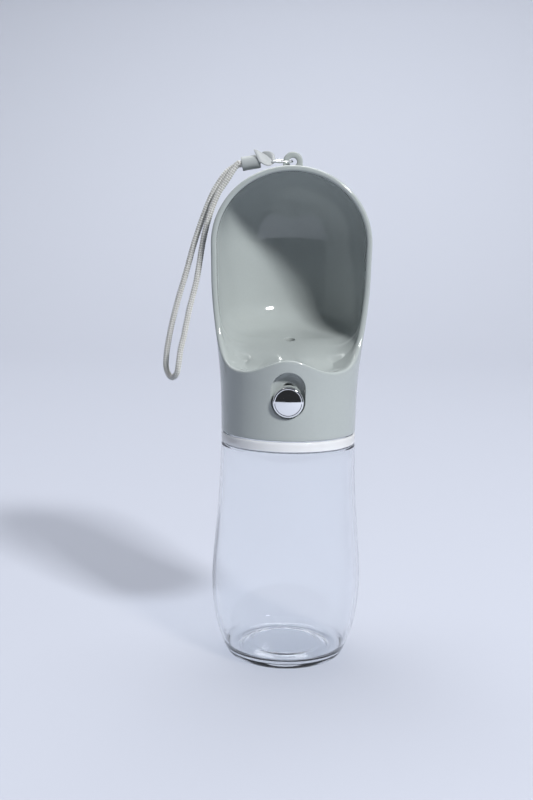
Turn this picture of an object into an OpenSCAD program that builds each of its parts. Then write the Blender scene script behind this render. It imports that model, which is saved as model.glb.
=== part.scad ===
// Dog travel water bottle: a clear bottle that screws into a head with a drinking scoop.
// Pressing the button in the head opens a plug valve, and the tipped bottle fills the scoop.
// Frame: millimetres, +Z up, the scoop and the button face -Y, origin at the centre of the foot.

/* [Bottle] */
// Widest radius of the bottle
bottle_r = 38.1; // [37:0.1:40]
// Height of the widest point
bulge_z = 40; // [36:1:46]
// Radius where the side meets the groove under the shoulder
waist_r = 34.1; // [33.2:0.1:34.6]
// Height where the side meets that groove
waist_z = 108; // [100:1:120]
// Outer radius of the rounded foot
foot_r = 30; // [29:0.5:32]
// Inner radius of the ring that the bottle stands on
foot_inner_r = 24; // [22:0.5:25]
// Radius of the raised disc in the base
pushup_r = 18; // [15:0.5:20]
// Height of the raised disc over the foot
pushup_h = 2.5; // [1.5:0.1:3.5]
// Wall of the bottle
bottle_wall = 1.6; // [1.2:0.1:2.2]
// Thickness of the base
base_t = 2; // [1.6:0.1:3]
// Depth of the groove under the shoulder
groove_depth = 0.9; // [0.5:0.1:1.2]
// How far the shoulder band stands back from the side over it
band_inset = 0.1; // [0:0.1:0.4]
// Height of the shoulder band
band_h = 4.7; // [4:0.1:6]
// Radius of the neck behind its thread
neck_r = 27.4; // [26.8:0.1:27.8]
// Height of the neck over the shoulder
neck_h = 7.2; // [6:0.1:8]
// Wall of the neck
neck_wall = 2.2; // [1.8:0.1:2.6]

/* [Head] */
// Gap between the shoulder and the head
head_gap = 0.5; // [0.3:0.1:0.8]
// Radius of the head at its lower edge
skirt_r = 34; // [33.6:0.1:34.4]
// Radius of the domed hood
dome_r = 40; // [39:0.5:42]
// Height from the lower edge to the centre of the dome
hood_h = 93.5; // [90:0.5:98]
// Height of the dome over its centre, less than its radius
dome_h = 38.2; // [37:0.1:40]
// Wall of the scoop
scoop_wall = 2.8; // [2.4:0.1:3]
// Radius of the bore in the skirt
skirt_bore_r = 31; // [30.8:0.1:31.2]
// Height of the dips of the lip over the lower edge
lip_dip_h = 33.1; // [32:0.1:35]
// Height of the hump in the middle of the lip
lip_hump = 6.2; // [4:0.1:7]
// Half the width of the lip between its lowest points
lip_half_w = 22.5; // [21:0.5:24]
// How far the lip stands over the scoop's floor
lip_rise = 1.2; // [0.8:0.1:2]
// Front plane of the hood
hood_y = -4.5; // [-7:0.5:-3]
// Depth of the curved cheeks, front to back
cheek_d = 22; // [20:0.5:22.5]
// Height of the curved cheeks
cheek_h = 35.4; // [32:0.1:38]
// Height of the scoop's floor at the outlet, over the lower edge
floor_h = 45.8; // [44:0.1:48]
// Rise of the floor per millimetre towards the back
floor_slope = 0.176; // [0.1:0.01:0.22]
// Thickness of the floor
floor_t = 2.7; // [2.4:0.1:3]
// Fillet between the floor and the wall
bowl_fillet = 12; // [8:0.5:13]
// Radius of the outlet hole
outlet_r = 2.5; // [2:0.1:2.8]
// Outlet behind the head's axis
outlet_y = 5; // [4:0.5:6]

/* [Strap eye] */
// Eye behind the head's axis
eye_y = 7; // [5:0.5:9]
// Height of the eye's centre over the top of the dome
eye_h = 2.4; // [2.2:0.1:3]
// Radius of the eye's hole
eye_hole_r = 2.2; // [2:0.1:2.4]
// Outer radius of the eye
eye_r = 4.8; // [4.4:0.1:5.2]
// Thickness of the eye
eye_t = 3; // [2.6:0.1:3.2]

/* [Screw insert] */
// Thickness of the neck gasket
gasket_t = 1.6; // [1.2:0.1:2]
// Thickness of the deck that closes the bottle
deck_t = 1.6; // [1.4:0.1:2]
// Wall of the threaded collar
collar_wall = 2.2; // [2:0.1:2.3]
// Gap between the collar and the skirt
collar_gap = 0.2; // [0.1:0.05:0.25]
// Depth of the collar below the deck
collar_h = 7.3; // [6.5:0.1:7.4]
// Height of the snap bead
bead_h = 1.2; // [1:0.1:1.6]
// Height that the bead stands proud of the collar
bead_proud = 0.7; // [0.5:0.1:0.9]
// Width of the four keys between the skirt and the collar
key_w = 2.6; // [2:0.1:3.2]
// Gap round the keys
key_gap = 0.2; // [0.1:0.05:0.3]
// Height of the ledge that the collar stops on
ledge_h = 2; // [1.5:0.1:2.4]

/* [Valve] */
// Outer radius of the valve body
valve_r = 7.2; // [7:0.1:7.5]
// Radius of the inlet chamber
inlet_r = 5; // [4.6:0.1:5.4]
// Length of the inlet chamber
inlet_len = 8.6; // [8.4:0.1:9.5]
// Radius of the outlet chamber
chamber_r = 5.7; // [5.5:0.1:5.8]
// Radius of the hole in the valve seat
seat_r = 3; // [2.8:0.1:3.2]
// Thickness of the valve seat
seat_t = 1.6; // [1.4:0.1:2]
// Wall at the front of the valve body
front_t = 2.4; // [2.2:0.1:2.8]
// Radius of the port through the deck
port_r = 3.5; // [3:0.1:3.6]
// Thickness of the valve body's flange
flange_t = 2.4; // [2:0.1:3]
// Half the width of the flange
flange_half_w = 14.5; // [14.2:0.1:15.5]
// Outer radius of the outlet tube
tube_r = 4.2; // [4:0.1:4.4]
// Bore of the outlet tube
tube_bore_r = 3; // [2.8:0.1:3.1]
// Radius of the valve stem
valve_stem_r = 1.5; // [1.4:0.05:1.6]
// Radius of the rubber plug
plug_r = 4.4; // [4.2:0.1:4.6]
// Thickness of the rubber plug
plug_t = 2.8; // [2.4:0.1:3.2]
// Mean radius of the spring
spring_r = 2.8; // [2.6:0.1:3]
// Radius of the spring's wire
spring_wire_r = 0.35; // [0.3:0.05:0.45]
// Turns of the spring
spring_turns = 5; // [4:1:6]
// Radius of the flange screws
screw_r = 1.2; // [1:0.1:1.3]
// Running clearance round a sliding stem
running_gap = 0.06; // [0.03:0.01:0.08]

/* [Button] */
// Height of the button over the head's lower edge
button_h = 19.2; // [18.8:0.1:20]
// Radius of the button
button_r = 7.4; // [7:0.1:7.6]
// Height of the button's edge before it rounds over
button_edge = 2.2; // [1.8:0.1:2.6]
// Height of the button's dome over that edge
button_dome = 1.4; // [1:0.1:1.8]
// Gap round the button in its recess
button_gap = 0.6; // [0.4:0.1:0.8]
// How far the button slides up to its locked place
lock_travel = 6; // [5:0.5:6]
// How far the button presses in
press_travel = 2.2; // [1.8:0.1:2.4]
// Depth of the recess in the skirt
recess_d = 3.8; // [3.6:0.1:4]
// Floor of the recess
recess_t = 1.4; // [1.2:0.1:1.6]
// Radius of the button's stem
button_stem_r = 2.5; // [2.3:0.1:2.6]
// Length of the stem behind the button
button_stem_len = 11.2; // [10.8:0.1:11.6]
// Thickness of the slide carriage
carriage_t = 1.6; // [1.4:0.1:2]
// Half the width of the slide carriage
carriage_half_w = 9; // [8.6:0.1:9.2]
// Half the height of the slide carriage
carriage_half_h = 6.6; // [6:0.1:6.8]
// Gap between the carriage and its rails
slide_gap = 0.3; // [0.2:0.05:0.35]
// Thickness of the rails' lips
rail_t = 1.6; // [1.4:0.1:2]
// Thickness of the retaining clip
clip_t = 1; // [0.8:0.1:1.1]

/* [Wrist strap] */
// Mean radius of the wire ring
ring_r = 5; // [4.8:0.1:5.4]
// Radius of the ring's wire
ring_wire_r = 0.55; // [0.5:0.05:0.6]
// Radius of the fold that holds the ring
fold_r = 1.7; // [1.6:0.05:1.9]
// Length of the fold along the ring's wire
fold_w = 4.4; // [3.6:0.2:4.6]
// Thickness of the doubled strip
strip_t = 1.4; // [1.2:0.1:1.5]
// Length of the strip between its fold and the sleeve
strip_len = 3.6; // [3.2:0.1:4]
// Radius of the sleeve
sleeve_r = 3.5; // [3.4:0.1:3.8]
// Length of the sleeve
sleeve_len = 9.2; // [8:0.1:10]
// Tilt of the sleeve
sleeve_tilt = 10; // [6:1:14]
// Radius of the cord
cord_r = 1.6; // [1.4:0.05:1.65]

/* [Hidden] */

$fn = 96;
over = 1;
seal_gap = 0.08;
far = dome_r + 15;

// Heights of the bottle, from the side up to the rim
groove_z = waist_z + 2.5;
band_z = waist_z + 3.3;
band_r = waist_r - band_inset;
shoulder_z = band_z + band_h;
rim_z = shoulder_z + neck_h;
neck_bore_r = neck_r - neck_wall;

// Heights of the screw insert
deck_z = rim_z + gasket_t;
deck_top = deck_z + deck_t;
collar_r = skirt_bore_r - collar_gap;
collar_bore_r = collar_r - collar_wall;
collar_z = deck_z - collar_h;
key_z = collar_z + 0.466 * collar_h;
ledge_z = deck_top + 0.1;
ledge_r = collar_bore_r + 0.8;

// Heights of the head
head_z = shoulder_z + head_gap;
dome_z = head_z + hood_h;
dip_z = head_z + lip_dip_h;
cheek_z = dip_z + cheek_h;
cheek_y = hood_y - cheek_d;
floor_z = head_z + floor_h;
flare_z1 = head_z + 0.1872 * hood_h;
flare_z2 = head_z + 0.8289 * hood_h;
flare_share = 0.69;
lip_fillet = 1.5;
floor_edge_r = skirt_r - 1;

// Places along the button's axis, from the front to the back
button_z = head_z + button_h;
recess_r = button_r + button_gap;
recess_y = recess_d - r_out(button_z);
boss_y = recess_y + recess_t;
carriage_y = boss_y + slide_gap;
carriage_back = carriage_y + carriage_t;
clip_y = carriage_back + 0.1;
cap_y = recess_y - press_travel - 0.2;
stem_end = cap_y + button_stem_len;
cap_cavity_r = button_r - 1.9;
cap_cavity_d = 1.6;
slot_r = button_stem_r + 0.2;
clip_groove_r = button_stem_r - 0.5;
clip_r = button_stem_r + 1.9;
rail_x = carriage_half_w + slide_gap;
rail_w = 2;

// Places along the valve's axis, from the front to the back
pin_y = stem_end + 0.3;
body_y = stem_end + press_travel + 0.6;
inlet_y = body_y + front_t;
seat_y = inlet_y + inlet_len;
plug_y = seat_y + seat_t;
flange_y = plug_y + plug_t;
spring_y = flange_y + 1;
chamber_end = outlet_y + tube_bore_r + 1.6;
spigot_len = 1.4;
end_cap_t = 1.8;
port_y = (inlet_y + seat_y) / 2;
seal_pocket_r = valve_stem_r + 1.5;
seal_pocket_d = 1.6;
screw_x = flange_half_w - 3;
screw_y1 = body_y + 4.5;
screw_y2 = chamber_end - 4.1;
screw_len = 6.4;

// Heights of the outlet tube and its seal under the floor
outlet_seal_t = 1;
tube_top = floor_z - floor_t - 3;
outlet_boss_z = tube_top - 4;
outlet_boss_r = tube_r + 2.4;

// Places of the strap
eye_z = dome_z + dome_h + eye_h;
wire_x = ring_wire_r + 0.35 - eye_hole_r;
ring_x = wire_x - ring_r;
fold_x = ring_x - ring_r + 0.25;
fold_bore_r = ring_wire_r + 0.45;
sleeve_x = fold_x - fold_r - strip_len;
sleeve_dir = [-cos(sleeve_tilt), 0, -sin(sleeve_tilt)];
sleeve_near = [sleeve_x, eye_y, eye_z];
sleeve_far = sleeve_near + sleeve_len * sleeve_dir;
strand_y = cord_r + 0.15;

// Route of the cord's loop between its two ends at the sleeve
cord_route = [
    [-32.5, 8.9, 244.2], [-38.2, 9, 235.6], [-42.1, 9.1, 226.7], [-45.6, 9.3, 217.2],
    [-48.7, 9.6, 207.3], [-52.3, 10.1, 194.3], [-56, 10.7, 181.7], [-59, 11.4, 169],
    [-61.3, 12.2, 156.5], [-62.5, 12.4, 148.5], [-61.9, 11.1, 143.9], [-59.8, 7, 141.5],
    [-57.7, 2.9, 143.7], [-57, 1.5, 148], [-56, 2, 155.5], [-54, 2.7, 164],
    [-50.9, 3.4, 177.3], [-47.6, 4, 190.9], [-45.2, 4.5, 205.9], [-43.5, 4.8, 215.1],
    [-40.9, 5, 224.8], [-37.2, 5.1, 234.1], [-32.7, 5.1, 241.1]
];

function smooth01(t) = let (u = min(max(t, 0), 1)) u * u * (3 - 2 * u);
function bezier(p, t) =
    pow(1 - t, 3) * p[0] + 3 * t * pow(1 - t, 2) * p[1]
    + 3 * t * t * (1 - t) * p[2] + pow(t, 3) * p[3];

// Outer radius of the head at a height below the dome
function r_out(z) =
    skirt_r + (dome_r - skirt_r)
    * ((1 - flare_share) * (z - head_z) / hood_h
    + flare_share * smooth01((z - flare_z1) / (flare_z2 - flare_z1)));

// Height of the lip at a distance from the middle
function lip_z(x) = dip_z + lip_hump * (1 + cos(180 * min(abs(x), lip_half_w) / lip_half_w)) / 2;

// Height of the scoop's floor: level ground at the back that turns into the lip's wave in front
function back_z(y) = floor_z + floor_slope * (y - outlet_y);
function scoop_z(x, y) =
    let (w = smooth01((outlet_y + 3 - y) / 36))
    back_z(y) + w * (lip_z(x) - lip_rise - back_z(y));

// Fillet between floor and wall at an angle round the head, small at the lip
function fillet_at(a) = lip_fillet + (bowl_fillet - lip_fillet) * smooth01((0.8 + sin(a)) / 0.6);

// Side of the bottle, from the foot up
lower_side = [[foot_r, 1.2], [foot_r + 5.6, 12], [bottle_r, bulge_z * 0.6], [bottle_r, bulge_z]];
upper_side = [[bottle_r, bulge_z], [bottle_r, bulge_z * 1.4], [waist_r + 0.5, waist_z * 0.685], [waist_r, waist_z]];
function side_points(inset) = concat(
    [for (i = [0:12]) bezier(lower_side, i / 12) - [inset, 0]],
    [for (i = [1:16]) bezier(upper_side, i / 16) - [inset, 0]]
);

// Rings of points joined into a closed solid, with a fan over each end. The rings run anticlockwise
// about the way from the first to the last.
function ring_faces(rings, sides) = concat(
    [for (i = [0:rings - 2], j = [0:sides - 1])
        [i * sides + j, (i + 1) * sides + j, i * sides + (j + 1) % sides]],
    [for (i = [0:rings - 2], j = [0:sides - 1])
        [i * sides + (j + 1) % sides, (i + 1) * sides + j, (i + 1) * sides + (j + 1) % sides]]
);
module skin(rings) {
    sides = len(rings[0]);
    count = len(rings);
    points = [for (ring = rings, p = ring) p];
    first = [for (i = [0:sides - 1]) 1] * [for (p = rings[0]) p] / sides;
    last = [for (i = [0:sides - 1]) 1] * [for (p = rings[count - 1]) p] / sides;
    polyhedron(
        concat(points, [first, last]),
        concat(
            ring_faces(count, sides),
            [for (j = [0:sides - 1]) [j, (j + 1) % sides, count * sides]],
            [for (j = [0:sides - 1])
                [(count - 1) * sides + (j + 1) % sides, (count - 1) * sides + j, count * sides + 1]]
        )
    );
}

// Round tube along a path of points, each ring square to the path there
function unit(v) = v / norm(v);
function tangent(path, i) = unit(path[min(i + 1, len(path) - 1)] - path[max(i - 1, 0)]);
function tube_ring(path, i, r, sides, side_dir) =
    let (t = tangent(path, i), u = unit(side_dir - (side_dir * t) * t), v = cross(t, u))
    [for (j = [0:sides - 1]) path[i] + r * (cos(360 * j / sides) * u + sin(360 * j / sides) * v)];
module tube_along(path, r, sides, side_dir)
    skin([for (i = [0:len(path) - 1]) tube_ring(path, i, r, sides, side_dir)]);

// A solid of revolution about the button's axis: profile x is the radius, y the distance back
module turned(y, z) translate([0, y, z]) rotate([-90, 0, 0]) rotate_extrude() children();
module along_y(r, y0, y1, z)
    translate([0, y0, z]) rotate([-90, 0, 0]) cylinder(r = r, h = y1 - y0);

// Clear bottle with a raised base, a bulged side, a shoulder band and a neck
module bottle() {
    inner = side_points(bottle_wall);
    outline = concat(
        [[0, pushup_h], [pushup_r, pushup_h], [foot_inner_r - 1.5, 0.5], [foot_inner_r, 0], [foot_r - 1.5, 0]],
        side_points(0),
        [[waist_r - groove_depth, groove_z - 0.4], [waist_r - groove_depth, groove_z + 0.4],
            [band_r - 0.5, band_z], [band_r, band_z + 0.5], [band_r, shoulder_z - 0.6],
            [band_r - 0.6, shoulder_z], [neck_r + 0.4, shoulder_z], [neck_r, shoulder_z + 0.4],
            [neck_r, rim_z - 0.3], [neck_r - 0.3, rim_z], [neck_bore_r, rim_z],
            [neck_bore_r, shoulder_z - 2], [neck_bore_r + 0.8, shoulder_z - 3],
            [waist_r - 5, shoulder_z - 3.6], [waist_r - 2.6, shoulder_z - 5]],
        [for (i = [len(inner) - 1:-1:4]) inner[i]],
        [[foot_r + 0.2, 5], [foot_r - 2, base_t + 1.2], [foot_inner_r, base_t + 0.4],
            [pushup_r, pushup_h + base_t], [0, pushup_h + base_t]]
    );
    color("lightcyan", 0.4) rotate_extrude() polygon(outline);
}

// Soft ring that seals the bottle's rim under the deck
module neck_gasket() {
    color("whitesmoke") translate([0, 0, rim_z]) difference() {
        cylinder(r = collar_bore_r - 0.2, h = gasket_t);
        translate([0, 0, -over]) cylinder(r = neck_bore_r + 0.4, h = gasket_t + 2 * over);
    }
}

// Outer form of the head: a flared skirt that runs into a dome
module head_outer() {
    outline = concat(
        [[0, head_z], [skirt_r - 0.6, head_z], [skirt_r, head_z + 0.6]],
        [for (i = [1:24]) let (z = head_z + hood_h * i / 24) [r_out(z), z]],
        [for (a = [6:6:84]) [dome_r * cos(a), dome_z + dome_h * sin(a)]],
        [[0, dome_z + dome_h]]
    );
    rotate_extrude() polygon(outline);
}

// Hollow of the scoop: the floor, a fillet, the wall and the inside of the dome
module scoop_hollow() {
    sides = 48;
    angles = [for (j = [0:sides - 1]) 360 * j / sides];
    wall_r = [for (a = angles) let (z = scoop_z(floor_edge_r * cos(a), floor_edge_r * sin(a)) + fillet_at(a))
        r_out(z) - scoop_wall];
    function floor_point(a, r, lift) = [r * cos(a), r * sin(a), scoop_z(r * cos(a), r * sin(a)) + lift];
    floor_rings = [for (i = [1:6]) [for (j = [0:sides - 1])
        floor_point(angles[j], (wall_r[j] - fillet_at(angles[j])) * i / 6, 0)]];
    fillet_rings = [for (f = [18:18:90]) [for (j = [0:sides - 1])
        let (e = fillet_at(angles[j]))
        floor_point(angles[j], wall_r[j] - e + e * sin(f), e * (1 - cos(f)))]];
    wall_rings = [for (i = [1:8]) [for (j = [0:sides - 1])
        let (z0 = fillet_rings[4][j][2], z = z0 + (dome_z - z0) * i / 8, r = r_out(z) - scoop_wall)
        [r * cos(angles[j]), r * sin(angles[j]), z]]];
    dome_rings = [for (f = [12:12:84]) [for (a = angles)
        let (r = (dome_r - scoop_wall) * cos(f))
        [r * cos(a), r * sin(a), dome_z + (dome_h - scoop_wall) * sin(f)]]];
    skin(concat(floor_rings, fillet_rings, wall_rings, dome_rings));
}

// Space under the scoop's floor, from a height up to the floor's underside
module under_floor(z0) {
    sides = 48;
    angles = [for (j = [0:sides - 1]) 360 * j / sides];
    wide = skirt_bore_r - 0.4;
    skin(concat(
        [[for (a = angles) [wide * cos(a), wide * sin(a), z0]]],
        [for (i = [8:-1:1]) [for (a = angles)
            let (r = wide * i / 8, x = r * cos(a), y = r * sin(a))
            [x, y, scoop_z(x, y) - floor_t]]]
    ));
}

// What is cut away in front: everything that is over the lip and before the cheeks and the hood
module mouth_cut() {
    cheek = [for (f = [0:6:90]) [cheek_y + cheek_d * sin(f), cheek_z - cheek_h * cos(f)]];
    lip = [for (i = [-14:14]) let (x = lip_half_w * i / 14) [x, lip_z(x)]];
    intersection() {
        rotate([90, 0, 90]) translate([0, 0, -far]) linear_extrude(2 * far) polygon(concat(
            [[-far, dip_z - 5], [cheek_y, dip_z - 5]], cheek, [[hood_y, dome_z + far], [-far, dome_z + far]]
        ));
        translate([0, far, 0]) rotate([90, 0, 0]) linear_extrude(2 * far) polygon(concat(
            [[-far, dip_z]], lip, [[far, dip_z], [far, dome_z + 2 * far], [-far, dome_z + 2 * far]]
        ));
    }
}

// Eye for the strap's ring, on top of the dome
module eye() {
    along_y(eye_r, eye_y - eye_t / 2, eye_y + eye_t / 2, eye_z);
    translate([-eye_r, eye_y - eye_t / 2, eye_z - eye_h - 1.8]) cube([2 * eye_r, eye_t, eye_h + 1.8]);
}

// Obround cut or plate, upright, from y0 back to y1
module upright_slot(r, z0, z1, y0, y1) {
    for (z = [z0, z1]) along_y(r, y0, y1, z);
    translate([-r, y0, z0]) cube([2 * r, y1 - y0, z1 - z0]);
}

// One-piece head: skirt, scoop, lip, hood and eye, with the button's recess and rails
module scoop_head() {
    color("darkgray") difference() {
        union() {
            difference() {
                head_outer();
                skirt_hollow();
            }
            eye();
            for (s = [-1, 1]) rail(s);
            for (a = [45:90:315]) key(a, key_w, key_gap);
            translate([0, outlet_y, outlet_boss_z])
                cylinder(r = outlet_boss_r, h = floor_z + 2 - outlet_boss_z);
        }
        scoop_hollow();
        mouth_cut();
        along_y(eye_hole_r, eye_y - eye_t / 2 - 0.2, eye_y + eye_t / 2 + 0.2, eye_z);
        upright_slot(recess_r, button_z, button_z + lock_travel, recess_y - 10, recess_y);
        upright_slot(slot_r, button_z, button_z + lock_travel, recess_y - 1, boss_y + 1);
        translate([0, outlet_y, outlet_boss_z - over])
            cylinder(r = tube_r + seal_gap, h = tube_top + outlet_seal_t - outlet_boss_z + over);
        translate([0, outlet_y, tube_top]) cylinder(r = outlet_r, h = 12);
    }
}

// Hollow below the scoop: the bore for the collar, the ledge over it and the space for the valve
module skirt_hollow() {
    translate([0, 0, head_z - over]) cylinder(r = skirt_bore_r, h = ledge_z - head_z + over);
    translate([0, 0, collar_z + 0.2]) cylinder(r = collar_r + bead_proud + 0.1, h = bead_h + 0.2);
    translate([0, 0, ledge_z - over]) cylinder(r = ledge_r, h = ledge_h + 2 * over);
    intersection() {
        union() {
            translate([0, 0, ledge_z + ledge_h]) cylinder(r = skirt_bore_r, h = 12);
            under_floor(ledge_z + ledge_h + 11.5);
        }
        translate([-far, boss_y, head_z]) cube([2 * far, 2 * far, far]);
    }
}

// Hooked rail that holds one side of the carriage
module rail(s) {
    z0 = ledge_z + ledge_h - 0.5;
    h = dip_z - z0;
    x0 = rail_x;
    lip_y = carriage_back + 0.2;
    mirror([s < 0 ? 1 : 0, 0, 0]) {
        translate([x0, boss_y - 1, z0]) cube([rail_w, lip_y + rail_t - boss_y + 1, h]);
        translate([x0 - 1.7, lip_y, z0]) cube([1.7 + rail_w, rail_t, h]);
    }
}

// Key between the skirt and the collar at an angle, so that they can't turn on each other
module key(a, w, shy)
    rotate([0, 0, a]) translate([collar_bore_r + 1.2 + shy, -w / 2, key_z + shy])
        cube([collar_wall + 0.6 - shy, w, ledge_z + 0.5 - key_z - shy]);

// Threaded insert: a collar that screws on the neck, closed by a deck with the port
module valve_housing() {
    color("gainsboro") difference() {
        union() {
            difference() {
                union() {
                    translate([0, 0, collar_z]) cylinder(r = collar_r, h = deck_top - collar_z);
                    translate([0, 0, collar_z + 0.3])
                        cylinder(r = collar_r + bead_proud, h = bead_h);
                }
                translate([0, 0, collar_z - over])
                    cylinder(r = collar_bore_r, h = deck_z - collar_z + over);
                for (a = [45:90:315]) key(a, key_w + 2 * key_gap, 0);
            }
            for (p = screw_places()) translate([p[0], p[1], deck_z - screw_len + 1.6])
                cylinder(r = screw_r + 1.6, h = screw_len - 1.6 + over);
        }
        translate([0, port_y, deck_z - over]) cylinder(r = port_r, h = deck_t + 2 * over);
        for (p = screw_places()) translate([p[0], p[1], deck_top - screw_len])
            cylinder(r = screw_r + 0.05, h = screw_len + over);
    }
}

function screw_places() = [for (x = [-screw_x, screw_x], y = [screw_y1, screw_y2]) [x, y]];

// Valve body: two chambers with the seat between them, on a flange, and the outlet tube
module valve_body() {
    color("whitesmoke") difference() {
        union() {
            along_y(valve_r, body_y, chamber_end, button_z);
            translate([-flange_half_w, body_y + 1, deck_top])
                cube([2 * flange_half_w, chamber_end - body_y - 1, flange_t]);
            translate([-valve_r + 1.5, body_y + 1, deck_top])
                cube([2 * valve_r - 3, chamber_end - body_y - 1, button_z - deck_top]);
            translate([0, outlet_y, button_z]) cylinder(r = tube_r, h = tube_top - button_z);
            for (x = [-valve_r - 3.2, valve_r - 1.5]) translate([x, -3, deck_top])
                cube([4.7, 1.6, button_z - deck_top - 3]);
        }
        along_y(valve_stem_r + running_gap, body_y - over, inlet_y, button_z);
        along_y(seal_pocket_r, inlet_y - seal_pocket_d, inlet_y + over, button_z);
        along_y(inlet_r, inlet_y, seat_y, button_z);
        along_y(seat_r, seat_y - over, plug_y + over, button_z);
        along_y(chamber_r, plug_y, chamber_end + over, button_z);
        translate([0, port_y, deck_top - over]) cylinder(r = port_r, h = button_z - deck_top);
        translate([0, port_y, deck_top - over]) cylinder(r = port_r + 2.5, h = over + 1);
        translate([0, outlet_y, button_z]) cylinder(r = tube_bore_r, h = tube_top - button_z + over);
        for (p = screw_places()) translate([p[0], p[1], deck_top - over])
            cylinder(r = screw_r + 0.2, h = flange_t + 2 * over);
    }
}

// Flat ring that seals the valve body to the deck round the port
module body_seal() {
    color("white") translate([0, port_y, deck_top]) difference() {
        cylinder(r = port_r + 2.5 - seal_gap, h = 1);
        translate([0, 0, -over]) cylinder(r = port_r + 0.4, h = 1 + 2 * over);
    }
}

// Four pan-head screws through the flange into the deck's bosses
module body_screws() {
    color("silver") for (p = screw_places()) translate([p[0], p[1], deck_top]) {
        translate([0, 0, 0.4 - screw_len]) cylinder(r = screw_r, h = screw_len + flange_t);
        translate([0, 0, flange_t]) difference() {
            cylinder(r1 = 2.3, r2 = 1.9, h = 1.3);
            for (a = [0, 90]) rotate([0, 0, a]) translate([-1.3, -0.25, 0.7]) cube([2.6, 0.5, over]);
        }
    }
}

// O-ring round the valve stem at the front of the valve body
module stem_seal() {
    mid_r = (valve_stem_r + seal_pocket_r) / 2;
    ring = (seal_pocket_r - valve_stem_r) / 2 - seal_gap;
    color("dimgray") turned(inlet_y - seal_pocket_d + ring, button_z) translate([mid_r, 0]) circle(r = ring);
}

// Flat ring between the outlet tube and the scoop's floor
module outlet_seal() {
    color("white") translate([0, outlet_y, tube_top]) difference() {
        cylinder(r = tube_r, h = outlet_seal_t);
        translate([0, 0, -over]) cylinder(r = tube_bore_r - 0.2, h = outlet_seal_t + 2 * over);
    }
}

// Cap that closes the back of the valve body and carries the spring
module valve_end_cap() {
    color("whitesmoke") {
        along_y(valve_r, chamber_end, chamber_end + end_cap_t, button_z);
        along_y(chamber_r - seal_gap, chamber_end - spigot_len, chamber_end + 0.5, button_z);
        along_y(spring_r - spring_wire_r - 0.2, chamber_end - spigot_len - 1.5, chamber_end, button_z);
    }
}

// Steel stem of the valve: a pin with a collar behind the plug
module valve_stem() {
    color("silver") {
        along_y(valve_stem_r, pin_y, spring_y + 1, button_z);
        along_y(plug_r - 0.6, flange_y, spring_y, button_z);
    }
}

// Rubber plug that closes the seat, with a raised sealing lip
module valve_plug() {
    color("white") turned(plug_y, button_z) polygon([
        [valve_stem_r, 0.4], [seat_r + 0.2, 0.4], [seat_r + 0.4, 0], [plug_r - 0.3, 0],
        [plug_r, 0.3], [plug_r - 0.6, plug_t], [valve_stem_r, plug_t]
    ]);
}

// Return spring, a helix between the stem's collar and the end cap
module valve_spring() {
    steps = 8 * spring_turns;
    length = chamber_end - spigot_len - spring_y - 2 * spring_wire_r;
    path = [for (i = [0:steps])
        let (a = 360 * spring_turns * i / steps)
        [spring_r * cos(a), spring_y + spring_wire_r + length * i / steps, button_z + spring_r * sin(a)]];
    color("silver") tube_along(path, spring_wire_r * 0.95, 6, [0, 1, 0]);
}

// Carriage behind the recess: it carries the button up to the locked place and down again
module lock_carriage() {
    color("gray") difference() {
        translate([-carriage_half_w, carriage_y, button_z - carriage_half_h])
            cube([2 * carriage_half_w, carriage_t, 2 * carriage_half_h]);
        along_y(button_stem_r + running_gap, carriage_y - over, carriage_back + over, button_z);
    }
}

// Chromed button, a shallow dome with a hollow back
module button_cap() {
    outline = concat(
        [[0, 0 - cap_cavity_d], [cap_cavity_r, 0 - cap_cavity_d], [cap_cavity_r, 0], [button_r - 0.3, 0],
            [button_r, -0.3], [button_r, -button_edge]],
        [for (a = [15:15:75]) [button_r - 0.8 + 0.8 * cos(a), -button_edge - 0.8 * sin(a)]],
        [for (i = [0:6]) let (r = (button_r - 0.8) * (1 - i / 6))
            [r, -button_edge - 0.8 - (button_dome - 0.8) * (1 - pow(r / (button_r - 0.8), 2))]]
    );
    color("silver") turned(cap_y, button_z) polygon(outline);
}

// Stem of the button: a disc seated in the cap, and a shaft with a groove for the clip
module button_stem() {
    color("gray") difference() {
        union() {
            along_y(cap_cavity_r - seal_gap, cap_y - cap_cavity_d, cap_y, button_z);
            along_y(button_stem_r, cap_y - 0.5, stem_end, button_z);
        }
        turned(clip_y, button_z) translate([clip_groove_r, -0.05]) square([over, clip_t + 0.1]);
    }
}

// Snap clip on the stem behind the carriage, open at its lower side
module stem_clip() {
    color("silver") difference() {
        along_y(clip_r, clip_y, clip_y + clip_t, button_z);
        along_y(clip_groove_r + 0.05, clip_y - over, clip_y + clip_t + over, button_z);
        translate([0.1 - clip_groove_r, clip_y - over, button_z - clip_r - over])
            cube([2 * clip_groove_r - 0.2, clip_t + 2 * over, clip_r + over]);
    }
}

// Wire ring through the eye
module strap_ring() {
    color("silver") translate([ring_x, eye_y, eye_z])
        rotate_extrude() translate([ring_r, 0]) circle(r = ring_wire_r, $fn = 32);
}

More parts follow.
